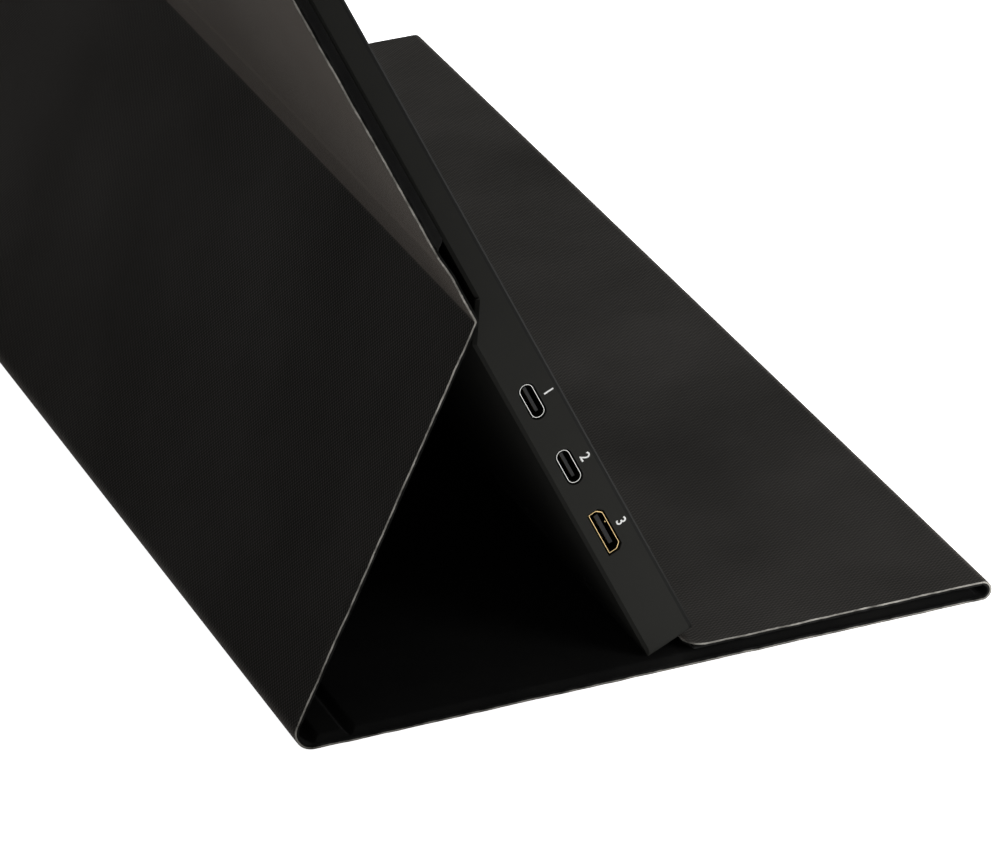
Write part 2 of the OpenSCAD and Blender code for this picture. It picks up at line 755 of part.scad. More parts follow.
// Cover: upper panel
module upper_skin() {
  color(skin_colour) on_upper() skin(upper_l, 0, cover_r);
}
module upper_lining() {
  color(lining_colour) on_upper() lining(upper_l, upper_boards, upper_board_t, 0, cover_r);
}
module magnet_plan(grow) {
  for (x = magnet_x) translate([x, magnet_z])
    square([magnet_w + 2 * grow, magnet_h + 2 * grow], center = true);
}
module upper_board() {
  color(board_colour) on_upper() difference() {
    stiffener(upper_boards[0], upper_board_t);
    slab(-upper_board_t - 1, 1) magnet_plan(pocket_gap);
  }
}
module upper_magnets() {
  color("silver") on_upper() slab(-upper_board_t, 0) magnet_plan(0);
}
module apex_fold_strip() {
  turn = 180 - leg_angle - (90 - lean);
  leg_dir = [sin(turn), -cos(turn)];
  leg_out = [cos(turn), sin(turn)];
  slope_out = [cos(slope_angle), sin(slope_angle)];
  pivot = [apex_y, apex_z];
  // The fold lies as far up the leg's plane as the slope lets the sheet's inner corner go
  inner = pivot - sheet_t / 2 * leg_out;
  corner_up = (slope_out * (inner - [0, thick_h]) - rest_gap) / sin(turn - slope_angle);
  crease = pivot - (corner_up - sheet_t / 2 * tan(turn / 2)) * leg_dir;
  // Below the thick board the soft sheets sink towards the monitor
  sink = 0.5;
  sink_run = 5;
  color(skin_colour) on_monitor() across(cover_w) strip([
    [upper_glue, upper_start], [upper_glue, upper_start - 1], [upper_glue - sink, upper_start - sink_run],
    crease, pivot + apex_short * leg_dir
  ], sheet_t);
}

// Cover: leg panel
module leg_skin() {
  color(skin_colour) on_leg() skin(leg_sheet_l, 0, 0);
}
module leg_board() {
  color(board_colour) on_leg() stiffener(leg_boards[0], board_t);
}
module leg_lining() {
  color(lining_colour) on_leg() lining(leg_sheet_l, leg_boards, board_t, 0, 0);
}
module rear_fold_strip() {
  color(skin_colour) across(cover_w)
    bend([rear_end, glue_z + rear_fold_r], rear_fold_r, sheet_t, -90, 90 - leg_angle);
}

// Cover: base panel with its narrow spine
module base_skin() {
  color(skin_colour) on_base() skin(base_sheet_l, 0, 0);
}
module base_board() {
  color(board_colour) on_base() stiffener(base_boards[0], board_t);
}
module spine_board() {
  color(board_colour) on_base() stiffener(spine_boards[0], board_t);
}
module base_lining() {
  color(lining_colour) on_base() lining(base_sheet_l, concat(base_boards, spine_boards), board_t, 0, 0);
}
module front_fold_strip() {
  color(skin_colour) across(cover_w)
    bend(front_centre, front_fold_r, sheet_t, 90, 270);
}

// Cover: flap
module flap_skin() {
  color(skin_colour) on_flap() skin(flap_l, cover_r, 0);
}
module flap_magnet_plan(grow) {
  for (s = [-1, 1]) translate([s * (cover_w / 2 - flap_magnet_in), flap_magnet_up])
    circle(flap_magnet_r + grow);
}
module flap_board() {
  color(board_colour) on_flap() difference() {
    stiffener(flap_boards[0], board_t);
    slab(-board_t - 1, 1) flap_magnet_plan(pocket_gap);
  }
}
module flap_magnets() {
  color("silver") on_flap() slab(-board_t, 0) flap_magnet_plan(0);
}
module flap_lining() {
  color(lining_colour) on_flap() lining(flap_l, flap_boards, board_t, cover_r, 0);
}

rear_housing();
front_bezel();
lcd_glass();
diffuser_films();
light_guide();
led_strip();
backlight_tray();
main_board();
oval_socket_shells();
oval_socket_tongues();
wide_socket_shell();
wide_socket_tongue();
headphone_jack();
power_button();
menu_rocker();
rocker_bracket();
button_board();
power_switch();
speakers();
panel_cable();
board_screws();
case_screws();
holding_plates();
upper_skin();
upper_board();
upper_lining();
upper_magnets();
apex_fold_strip();
leg_skin();
leg_board();
leg_lining();
rear_fold_strip();
base_skin();
base_board();
spine_board();
base_lining();
front_fold_strip();
flap_skin();
flap_board();
flap_lining();
flap_magnets();
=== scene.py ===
"""Looks of a portable monitor standing in its folding cover.

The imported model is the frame. The cover's glued sheets and folds are built here as cut and
folded material, and every rigid piece of the monitor gets the finish of the real one.
"""
import json
import logging
import math
from dataclasses import dataclass, field
from enum import Enum

import bmesh
import bpy
import numpy as np
from mathutils import Matrix, Vector, noise


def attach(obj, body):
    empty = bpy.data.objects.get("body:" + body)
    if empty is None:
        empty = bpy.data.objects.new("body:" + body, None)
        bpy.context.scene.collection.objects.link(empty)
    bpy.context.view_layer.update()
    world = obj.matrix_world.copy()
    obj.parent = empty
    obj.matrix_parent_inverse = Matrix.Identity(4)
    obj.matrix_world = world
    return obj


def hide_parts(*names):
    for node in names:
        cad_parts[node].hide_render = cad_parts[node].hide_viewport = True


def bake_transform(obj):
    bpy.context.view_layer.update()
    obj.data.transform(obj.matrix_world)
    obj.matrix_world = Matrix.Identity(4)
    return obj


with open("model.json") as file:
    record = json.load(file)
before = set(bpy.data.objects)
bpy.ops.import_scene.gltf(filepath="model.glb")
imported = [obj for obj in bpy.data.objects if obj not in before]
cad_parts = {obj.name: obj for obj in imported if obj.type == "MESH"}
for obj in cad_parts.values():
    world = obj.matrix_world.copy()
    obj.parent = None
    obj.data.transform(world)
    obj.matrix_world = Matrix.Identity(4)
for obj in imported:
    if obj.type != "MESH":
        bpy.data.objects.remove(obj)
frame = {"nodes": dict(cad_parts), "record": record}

LOG = logging.getLogger("portable_monitor")
MM = 0.001
# A wave texture's bands repeat every 0.31416 units at a scale of 1
BAND_REPEAT = 0.31416
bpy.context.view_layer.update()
Point = tuple[float, float]
Place = tuple[float, float, float]


def linear(code: str) -> tuple[float, float, float, float]:
    """Turns an sRGB hex colour into the linear colour that a shader takes.

    Args:
        code: Colour such as "#2b2b2a".

    Returns:
        Red, green, blue and an alpha of 1.
    """
    parts = [int(code[i : i + 2], 16) / 255 for i in (1, 3, 5)]
    low = [c / 12.92 if c <= 0.04045 else ((c + 0.055) / 1.055) ** 2.4 for c in parts]
    return (*low, 1.0)


class Layer(Enum):
    """Which side of the boards a sheet is glued to."""

    SKIN = 1
    LINING = -1


# Finishes


@dataclass(frozen=True)
class Finish:
    """What every finish shares: its colour and how it shines."""

    name: str
    colour: str
    roughness: float = 0.5
    metallic: float = 0.0
    specular: float = 0.5

    def start(self) -> tuple[bpy.types.Material, bpy.types.NodeTree, bpy.types.Node]:
        """Makes the material with its constants set on the shader's own sockets.

        Returns:
            The material, its node tree and its Principled shader.
        """
        material = bpy.data.materials.new(self.name)
        material.use_nodes = True
        tree = material.node_tree
        shader = tree.nodes["Principled BSDF"]
        shader.inputs["Base Color"].default_value = linear(self.colour)
        shader.inputs["Roughness"].default_value = self.roughness
        shader.inputs["Metallic"].default_value = self.metallic
        shader.inputs["Specular IOR Level"].default_value = self.specular
        material.diffuse_color = linear(self.colour)
        return material, tree, shader


def add(tree: bpy.types.NodeTree, kind: str, inputs: dict | None = None, **settings) -> bpy.types.Node:
    """Adds one node, with its settings and what goes into it.

    Args:
        tree: Node tree to add to.
        kind: Node type, such as "ShaderNodeBump".
        inputs: Socket name or number to a value, or to the socket that is linked to it.
        settings: Properties of the node.

    Returns:
        The new node.
    """
    node = tree.nodes.new(kind)
    for key, value in settings.items():
        setattr(node, key, value)
    for key, value in (inputs or {}).items():
        if isinstance(value, bpy.types.NodeSocket):
            tree.links.new(value, node.inputs[key])
        else:
            node.inputs[key].default_value = value
    return node


def ramp(
    tree: bpy.types.NodeTree, source: bpy.types.NodeSocket, stops: list[tuple[float, str]]
) -> bpy.types.NodeSocket:
    """Colours a value by stops.

    Args:
        tree: Node tree to add to.
        source: The value, from 0 to 1.
        stops: Positions and sRGB hex colours, in order.

    Returns:
        The colour.
    """
    node = add(tree, "ShaderNodeValToRGB", {"Fac": source})
    elements = node.color_ramp.elements
    while len(elements) < len(stops):
        elements.new(0.5)
    for element, (position, code) in zip(elements, stops):
        element.position = position
        element.color = linear(code)
    return node.outputs["Color"]


@dataclass(frozen=True)
class CrossHatchSkin(Finish):
    """Split leather look: polyurethane film pressed with a cross-hatch roller.

    Fine ribs cross and break the light into small glints, and their crests are painted lighter as highlight
    and their hollows darker as shade.
    Sizes are in millimetres, and the ribs lie at the angle in degrees to either side of the cover's width.
    """

    rib_pitch: float = 0.78
    rib_angle: float = 48.0
    depth: float = 0.05
    pebble: float = 2.5
    wear: float = 60.0
    # Painted shade in the ribs' hollows, and painted highlight on their crests mixed with random worn patches
    rib_hollow_painted_shade: str = "#151515"
    crest_highlight_and_wear: str = "#2b2a29"
    sheen: float = 0.31
    sheen_tint: str = "#fff0e2"

    def make(self) -> bpy.types.Material:
        """Builds the material.

        Returns:
            The finished material.
        """
        material, tree, shader = self.start()
        flat = add(tree, "ShaderNodeUVMap", uv_map="flat").outputs["UV"]
        ribs = []
        for turn in (self.rib_angle, -self.rib_angle):
            turned = add(tree, "ShaderNodeMapping", {"Vector": flat, "Rotation": (0, 0, math.radians(turn))})
            bands = {"Vector": turned.outputs[0], "Scale": BAND_REPEAT / (self.rib_pitch * MM)}
            uneven = {"Distortion": 0.7, "Detail": 1.0, "Detail Scale": 1.4}
            wave = add(
                tree, "ShaderNodeTexWave", bands | uneven,
                wave_type="BANDS", bands_direction="Y", wave_profile="SIN",
            )
            ribs.append(wave.outputs["Fac"])
        lesser = add(tree, "ShaderNodeMath", {0: ribs[1], 1: 0.75}, operation="MULTIPLY").outputs[0]
        crossed = add(tree, "ShaderNodeMath", {0: ribs[0], 1: lesser}, operation="ADD").outputs[0]
        pebbles = {"Vector": flat, "Scale": 1 / (self.pebble * MM), "Detail": 3.0}
        grain = add(tree, "ShaderNodeTexNoise", pebbles).outputs["Fac"]
        raised = {0: grain, 1: 0.5, 2: crossed}
        height = add(tree, "ShaderNodeMath", raised, operation="MULTIPLY_ADD").outputs[0]
        bump = add(tree, "ShaderNodeBump", {"Height": height, "Distance": self.depth * MM, "Strength": 0.8})
        tree.links.new(bump.outputs[0], shader.inputs["Normal"])
        patches = {"Vector": flat, "Scale": 1 / (self.wear * MM), "Detail": 4.0}
        worn = add(tree, "ShaderNodeTexNoise", patches).outputs["Fac"]
        # Painted highlight and shade: the ribs lighten the colour on their crests and darken it in their
        # hollows, added to random worn patches
        ribs_and_wear = {0: crossed, 1: 0.28, 2: worn}
        mixed = add(tree, "ShaderNodeMath", ribs_and_wear, operation="MULTIPLY_ADD").outputs[0]
        tone = ramp(tree, mixed, [(0.4, self.rib_hollow_painted_shade), (0.7, self.colour), (1.0, self.crest_highlight_and_wear)])
        tree.links.new(tone, shader.inputs["Base Color"])
        spread = {"Value": mixed, "To Min": self.roughness + 0.1, "To Max": self.roughness - 0.1}
        rough = add(tree, "ShaderNodeMapRange", spread)
        tree.links.new(rough.outputs[0], shader.inputs["Roughness"])
        shader.inputs["Sheen Weight"].default_value = self.sheen
        shader.inputs["Sheen Roughness"].default_value = 0.3
        shader.inputs["Sheen Tint"].default_value = linear(self.sheen_tint)
        return material


@dataclass(frozen=True)
class BrushedLining(Finish):
    """Brushed microfibre: short black nap that swallows light and pales only at a glance along it.

    Sizes are in millimetres.
    """

    nap: float = 0.35
    nap_depth: float = 0.12
    stroke: float = 22.0

    def make(self) -> bpy.types.Material:
        """Builds the material.

        Returns:
            The finished material.
        """
        material, tree, shader = self.start()
        flat = add(tree, "ShaderNodeUVMap", uv_map="flat").outputs["UV"]
        short_nap = {"Vector": flat, "Scale": 1 / (self.nap * MM), "Detail": 5.0, "Roughness": 0.7}
        fibre = add(tree, "ShaderNodeTexNoise", short_nap).outputs["Fac"]
        raised = {"Height": fibre, "Distance": self.nap_depth * MM, "Strength": 0.7}
        bump = add(tree, "ShaderNodeBump", raised)
        tree.links.new(bump.outputs[0], shader.inputs["Normal"])
        strokes = {"Vector": flat, "Scale": 1 / (self.stroke * MM), "Detail": 3.0}
        brushed = add(tree, "ShaderNodeTexNoise", strokes).outputs["Fac"]
        tone = ramp(tree, brushed, [(0.35, "#121212"), (0.7, "#1a1a19")])
        tree.links.new(tone, shader.inputs["Base Color"])
        shader.inputs["Sheen Weight"].default_value = 0.03
        shader.inputs["Sheen Roughness"].default_value = 0.6
        return material


@dataclass(frozen=True)
class CutEdge(Finish):
    """Raw knife-cut edge: the woven backing shows between the black face and the glue line.

    Thread and fleck are in millimetres. The wander is a share of the sheet's thickness.
    """

    face: str = "#1c1c1c"
    thread: float = 0.9
    fleck: float = 3.2
    wander: float = 0.34

    def make(self) -> bpy.types.Material:
        """Builds the material.

        Returns:
            The finished material.
        """
        material, tree, shader = self.start()
        depth = add(tree, "ShaderNodeAttribute", attribute_name="depth").outputs["Fac"]
        place = add(tree, "ShaderNodeTexCoord").outputs["Object"]
        threads = {"Vector": place, "Scale": 1 / (self.thread * MM), "Detail": 3.0}
        fray = add(tree, "ShaderNodeTexNoise", threads).outputs["Fac"]
        frayed = {0: fray, 1: self.wander, 2: depth}
        shifted = add(tree, "ShaderNodeMath", frayed, operation="MULTIPLY_ADD").outputs[0]
        moved = add(tree, "ShaderNodeMath", {0: shifted, 1: self.wander / 2}, operation="SUBTRACT").outputs[0]
        backing = [(0.12, self.colour), (0.84, self.colour)]
        layers = ramp(tree, moved, [(0.02, self.face), *backing, (0.96, self.face)])
        flecks = {"Vector": place, "Scale": 1 / (self.fleck * MM), "Detail": 2.0}
        tone = add(tree, "ShaderNodeTexNoise", flecks).outputs["Fac"]
        shade = ramp(tree, tone, [(0.3, "#8a8a8a"), (0.7, "#ffffff")])
        # Sockets 6 and 7 are the two colours that are multiplied
        both = {"Factor": 1.0, 6: layers, 7: shade}
        mixed = add(tree, "ShaderNodeMix", both, data_type="RGBA", blend_type="MULTIPLY")
        tree.links.new(mixed.outputs[2], shader.inputs["Base Color"])
        bump = add(tree, "ShaderNodeBump", {"Height": fray, "Distance": 0.1 * MM, "Strength": 0.6})
        tree.links.new(bump.outputs[0], shader.inputs["Normal"])
        return material


@dataclass(frozen=True)
class Grained(Finish):
    """Moulded, drawn or lacquered piece with an even fine grain, its size given in millimetres."""

    grain: float = 0.25
    depth: float = 0.01
    mottle: float = 0.12
    mottle_size: float = 30.0
    uneven: float = 0.06
    coat: float = 0.0

    def make(self) -> bpy.types.Material:
        """Builds the material.

        Returns:
            The finished material.
        """
        material, tree, shader = self.start()
        place = add(tree, "ShaderNodeTexCoord").outputs["Object"]
        grains = {"Vector": place, "Scale": 1 / (self.grain * MM), "Detail": 2.0}
        fine = add(tree, "ShaderNodeTexNoise", grains).outputs["Fac"]
        bump = add(tree, "ShaderNodeBump", {"Height": fine, "Distance": self.depth * MM, "Strength": 0.5})
        tree.links.new(bump.outputs[0], shader.inputs["Normal"])
        clouds = {"Vector": place, "Scale": 1 / (self.mottle_size * MM), "Detail": 4.0}
        wide = add(tree, "ShaderNodeTexNoise", clouds).outputs["Fac"]
        spread = {"Value": wide, "To Min": 1 - self.mottle, "To Max": 1 + self.mottle}
        value = add(tree, "ShaderNodeMapRange", spread).outputs[0]
        tint = add(tree, "ShaderNodeHueSaturation", {"Value": value, "Color": linear(self.colour)}).outputs[0]
        tree.links.new(tint, shader.inputs["Base Color"])
        low, high = self.roughness - self.uneven, self.roughness + self.uneven
        rough = add(tree, "ShaderNodeMapRange", {"Value": fine, "To Min": low, "To Max": high})
        tree.links.new(rough.outputs[0], shader.inputs["Roughness"])
        shader.inputs["Coat Weight"].default_value = self.coat
        return material


SKIN = CrossHatchSkin("pressed_polyurethane_leather", "#1e1e1d", roughness=0.5, specular=0.003)
LINING = BrushedLining("brushed_microfibre", "#1b1b1b", roughness=0.95, specular=0.0)
SKIN_EDGE = CutEdge("knife_cut_leather_edge", "#aaa7a0", roughness=0.9, specular=0.0)
LINING_EDGE = CutEdge("knife_cut_microfibre_edge", "#262625", roughness=0.9, specular=0.0)
INK = Grained("pad_printed_white_ink", "#e4e4e2", roughness=0.6, grain=0.2, mottle=0.04)
# Gold contacts, their colour painted dark as the shade deep inside the sockets
CONTACT_IN_PAINTED_SHADE = Grained("gold_flashed_contacts", "#5e5038", roughness=0.35, metallic=1.0, grain=0.1, mottle=0.03)
# Painted shade: the shells' inner walls and backs are the same steel, painted near black where shade falls
# inside them
SHELL_PAINTED_SHADE = Grained("shell_inside_painted_shade", "#0d0c0b", roughness=0.4, specular=0.1, grain=0.2)

# One finish for each material slot of the record
FINISHES: dict[str, Finish] = {
    "housing_plastic": Grained(
        "moulded_abs_satin", "#2e2e2c", roughness=0.5, specular=0.0, grain=0.22, depth=0.012
    ),
    "bezel_plastic": Grained("moulded_abs_bezel", "#1c1c1b", roughness=0.45, specular=0.04, grain=0.22),
    "screen_glass": Grained(
        "haze_coated_screen_glass", "#08090b", roughness=0.24, specular=0.25, grain=0.12, depth=0.002,
        mottle=0.02,
    ),
    "film": Grained("milky_diffuser_film", "#e6e6e2", roughness=0.6),
    "clear_plastic": Grained("cast_acrylic_guide", "#d9e2e2", roughness=0.1),
    "led": Grained("light_bar", "#e6dcc0", roughness=0.4),
    "sheet_metal": Grained("pressed_aluminium", "#b6b8ba", roughness=0.4, metallic=1.0, grain=0.4),
    "circuit_board": Grained("lacquered_glass_fibre_board", "#14512f", roughness=0.35, coat=0.3, grain=0.5),
    "socket_steel": Grained("drawn_stainless_shell", "#b4b4b1", roughness=0.3, metallic=1.0, grain=0.15),
    "socket_black": Grained(
        "moulded_liquid_crystal_polymer", "#171718", roughness=0.35, specular=0.15, grain=0.15
    ),
    "socket_gold": Grained("gilded_steel_shell", "#c2a878", roughness=0.28, metallic=1.0, grain=0.15),
    "button_plastic": Grained("moulded_abs_button", "#232323", roughness=0.45, specular=0.08, grain=0.2),
    "flat_cable": Grained("polyimide_flat_cable", "#a8702a", roughness=0.35, grain=0.3),
    "screw_steel": Grained("blackened_steel_screw", "#3c3c3d", roughness=0.35, metallic=1.0, grain=0.2),
    "magnet": Grained("nickel_plated_magnet", "#bcbbb6", roughness=0.25, metallic=1.0, grain=0.3),
    "stiffener": Grained("pressed_fibre_board", "#8b7d66", roughness=0.85, grain=0.8, depth=0.05),
}


# The cover as cut and folded material


class FoldedPath:
    """Glue line of the cover in Y and Z, in millimetres, from the upper panel's top to the flap's end."""

    def __init__(self) -> None:
        """Starts with no points."""
        self.points: list[Point] = []

    def reach(self, point: Point, step: float = 0.4) -> None:
        """Runs straight to a point.

        Args:
            point: Where the line ends.
            step: Greatest distance from one sample to the next.
        """
        if not self.points:
            self.points.append(point)
            return
        start = np.array(self.points[-1])
        away = np.array(point) - start
        count = max(1, int(np.ceil(np.linalg.norm(away) / step)))
        self.points += [tuple(start + away * i / count) for i in range(1, count + 1)]

    def arc(self, centre: Point, radius: float, first: float, last: float) -> None:
        """Bends round a centre.

        Args:
            centre: Centre of the bend.
            radius: Radius of the middle line.
            first: Angle at the start, in degrees.
            last: Angle at the end, in degrees.
        """
        count = 40
        for i in range(count + 1):
            a = math.radians(first + (last - first) * i / count)
            self.reach((centre[0] + radius * math.cos(a), centre[1] + radius * math.sin(a)))

    def corner(self, point: Point, after: Point, radius: float) -> None:
        """Runs towards a corner and bends round it.

        Args:
            point: The sharp corner.
            after: A point that the line then runs towards.
            radius: Radius of the bend.
        """
        p, a = np.array(point), np.array(self.points[-1])
        into = (p - a) / np.linalg.norm(p - a)
        out = (np.array(after) - p) / np.linalg.norm(np.array(after) - p)
        turn = math.atan2(into[0] * out[1] - into[1] * out[0], float(into @ out))
        side = math.copysign(1.0, turn)
        begin = p - into * radius * math.tan(abs(turn) / 2)
        normal = side * np.array([-into[1], into[0]])
        centre = begin + normal * radius
        first = math.degrees(math.atan2(*(begin - centre)[::-1]))
        self.arc(tuple(centre), radius, first, first + math.degrees(turn))

    def finish(self) -> None:
        """Measures the line, so that at() can be asked."""
        keep = [self.points[0]]
        for p in self.points[1:]:
            if math.dist(p, keep[-1]) > 1e-6:
                keep.append(p)
        self.line = np.array(keep)
        steps = np.linalg.norm(np.diff(self.line, axis=0), axis=1)
        self.run = np.concatenate([[0.0], np.cumsum(steps)])
        headings = np.arctan2(*np.diff(self.line, axis=0).T[::-1])
        headings = np.unwrap(np.concatenate([headings, headings[-1:]]))
        self.heading = (headings + np.concatenate([headings[:1], headings[:-1]])) / 2

    def at(self, s: float) -> tuple[float, float, float]:
        """Gives a place on the line.

        Args:
            s: Distance along the line from its start.

        Returns:
            Y, Z and the heading in radians.
        """
        values = (self.line[:, 0], self.line[:, 1], self.heading)
        return tuple(float(np.interp(s, self.run, value)) for value in values)

    def nearest(self, point: Point) -> float:
        """Distance along the line at which it passes closest to a point."""
        return float(self.run[np.argmin(np.linalg.norm(self.line - np.array(point), axis=1))])


@dataclass
class Cover:
    """The folding cover, whose sizes are those of the model's own source, in millimetres."""

    half_width: float = 178.5
    skin_t: float = 0.5
    board_t: float = 1.2
    upper_board_t: float = 2.3
    margin: float = 2.3
    slope: float = 1.5
    corner_r: float = 5.0
    base_half: float = 82.9
    flap_clear: float = 1.9
    flap_gap: float = 0.3
    rear_r: float = 3.9
    spine_w: float = 13.0
    crease_half: float = 1.6
    fold_room: float = 14.8
    lean: float = 24.3
    leg_angle: float = 62.5
    rest_gap: float = 0.03
    flat_gap: float = 0.2
    thick_h: float = 92.7
    slope_run: float = 9.2
    step_d: float = 5.4
    monitor_h: float = 218.0
    overhang: float = 2.5
    rear_chamfer: float = 0.8
    apex_rise: float = 2.3
    apex_short: float = 3.0
    apex_r: float = 1.2
    sink: float = 0.5
    sink_run: float = 5.0
    board_end_r: float = 12.0
    fine_row: float = 0.4
    coarse_row: float = 1.6
    least_row: float = 0.08
    knife_reach: float = 1.6
    bend_inset: float = 0.24
    boards: list[tuple[float, float]] = field(default_factory=list)

    def __post_init__(self) -> None:
        """Lays the folded line and marks where each panel starts and ends on it."""
        lean = math.radians(self.lean)
        self.up = np.array([math.sin(lean), math.cos(lean)])
        self.out = np.array([math.cos(lean), -math.sin(lean)])
        panel_t = self.board_t + 2 * self.skin_t
        glue_z = self.skin_t
        angle = math.radians(self.leg_angle)
        rear_turn = 180 - self.leg_angle
        rear_end = self.base_half - self.rear_r - self.skin_t
        corner = (rear_end + self.rear_r * math.tan(math.radians(rear_turn) / 2), glue_z)
        pivot = np.array([self.flat_gap + self.skin_t + self.board_t, self.thick_h + self.apex_rise])
        foot_z = panel_t + self.rest_gap - self.rear_chamfer * math.sin(lean)
        apex_h = foot_z + float(self.out[1] * pivot[0] + self.up[1] * pivot[1])
        apex_back = corner[0] - (apex_h - glue_z) / math.tan(angle)
        self.foot = np.array([apex_back - self.out[0] * pivot[0] - self.up[0] * pivot[1], foot_z])
        self.apex = self.on_monitor(*pivot)

        # The fold lies as far up the leg's plane as the slope lets the sheet's inner corner go
        turn = math.radians(180 - self.leg_angle - (90 - self.lean))
        slope_angle = math.atan(self.step_d / self.slope_run)
        leg_dir = np.array([math.sin(turn), -math.cos(turn)])
        inner = pivot - self.skin_t * np.array([math.cos(turn), math.sin(turn)]) - (0, self.thick_h)
        room = float(inner @ [math.cos(slope_angle), math.sin(slope_angle)]) - self.rest_gap
        up_leg = room / math.sin(turn - slope_angle) - self.skin_t * math.tan(turn / 2)
        crease = self.on_monitor(*(pivot - up_leg * leg_dir))
        self.leg_top = self.on_monitor(*(pivot + self.apex_short * leg_dir))
        upper_start = self.thick_h + self.slope_run + self.fold_room
        upper_glue = self.rest_gap + self.skin_t + self.upper_board_t - self.step_d
        sunk = self.on_monitor(upper_glue - self.sink, upper_start - self.sink_run)

        flap_top = 2 * panel_t + self.flap_gap
        front_r = (flap_top - 2 * self.skin_t) / 2
        front_end = -self.base_half + front_r + self.skin_t
        flap_end = float(self.foot[0]) - (flap_top - foot_z) / math.tan(lean) - self.flap_clear

        path = FoldedPath()
        path.reach(self.on_monitor(upper_glue, self.monitor_h + self.overhang))
        path.corner(self.on_monitor(upper_glue, upper_start), sunk, self.board_end_r)
        path.corner(sunk, crease, self.board_end_r)
        path.corner(crease, self.leg_top, self.apex_r)
        path.corner(corner, (front_end, glue_z), self.rear_r)
        path.reach((front_end, glue_z))
        path.arc((front_end, glue_z + front_r), front_r, 270, 90)
        path.reach((flap_end, flap_top - self.skin_t))
        path.finish()
        self.path = path
        self.total = float(path.run[-1])
        self.upper_end = path.nearest(self.on_monitor(upper_glue, upper_start))
        self.leg_start = path.nearest(self.leg_top)
        self.base_start = path.nearest((rear_end, glue_z))
        self.leg_end = self.base_start - self.rear_r * math.radians(rear_turn)
        self.base_end = path.nearest((front_end, glue_z))
        self.flap_start = self.base_end + math.pi * front_r
        spine = self.base_start + rear_end - self.base_half + self.spine_w
        self.boards = [
            (self.margin, self.upper_end - self.margin),
            (self.leg_start + self.margin, self.leg_end - self.margin),
            (self.base_start + self.crease_half, spine - self.crease_half),
            (spine + self.crease_half, self.base_end - self.margin),
            (self.flap_start + self.margin, self.total - self.margin),
        ]

    def on_monitor(self, y: float, z: float) -> Point:
        """Turns a place on the leaning monitor, Y out of its back and Z up it, into the row frame."""
        return tuple(self.foot + self.out * y + self.up * z)

    def lift(self, x: float, s: float) -> float:
        """How far a board pushes the lining in from the glue line.

        Args:
            x: Place across the cover.
            s: Place along the folded line.

        Returns:
            Height in millimetres.
        """
        across = abs(x) - (self.half_width - self.margin)
        best = 0.0
        for first, last in self.boards:
            away = max(across, first - s, s - last, 0.0)
            t = 1 - min(1.0, away / self.slope)
            thick = self.upper_board_t if s < self.upper_end else self.board_t
            best = max(best, thick * t * t * (3 - 2 * t))
        return best

    def outline(self, s: float) -> float:
        """Half width of the sheet at a place along it, with its two free ends' corners rounded."""
        end = min(s, self.total - s)
        if end >= self.corner_r:
            return self.half_width
        inside = max(0.0, self.corner_r**2 - (self.corner_r - end) ** 2)
        return self.half_width - self.corner_r + math.sqrt(inside)

    def rows(self, first: float, last: float) -> list[float]:
        """Places along the line at which a sheet has rows.

        Rows lie closer together in a fold, at the cover's two ends and at the boards' ends.

        Args:
            first: Where the sheet starts along the line.
            last: Where it ends.

        Returns:
            The places in order, from the first to the last.
        """
        from_end = [0, 0.12, 0.35, 0.7, 1.2, 1.8, 2.6, 3.6, 5]
        from_board = (-1.5, -1.1, -0.75, -0.4, 0, 0.4, 0.75, 1.1, 1.5)
        marks = {first, last}
        marks |= {place for away in from_end for place in (away, self.total - away)}
        marks |= {end + away for pair in self.boards for end in pair for away in from_board}
        step = self.fine_row if last - first < self.fold_room * 2 else self.coarse_row
        count = max(2, int((last - first) / step))
        marks |= {first + (last - first) * i / count for i in range(count + 1)}
        marks = sorted(m for m in marks if first <= m <= last)
        kept = [marks[0]]
        for m in marks[1:]:
            if m - kept[-1] > self.least_row:
                kept.append(m)
        kept[-1] = last
        return kept

    def columns(self) -> list[float]:
        """Places across the cover at which a sheet has columns, closer together at its two edges."""
        away = [0, 0.2, 0.5, 0.8, 1.1, 1.4, 1.7, 2, 2.3, 2.8, 4, 7, 13, 24, 42, 70, 110, 150]
        left = [-self.half_width + a for a in away]
        return left + [0.0] + [-x for x in reversed(left)]

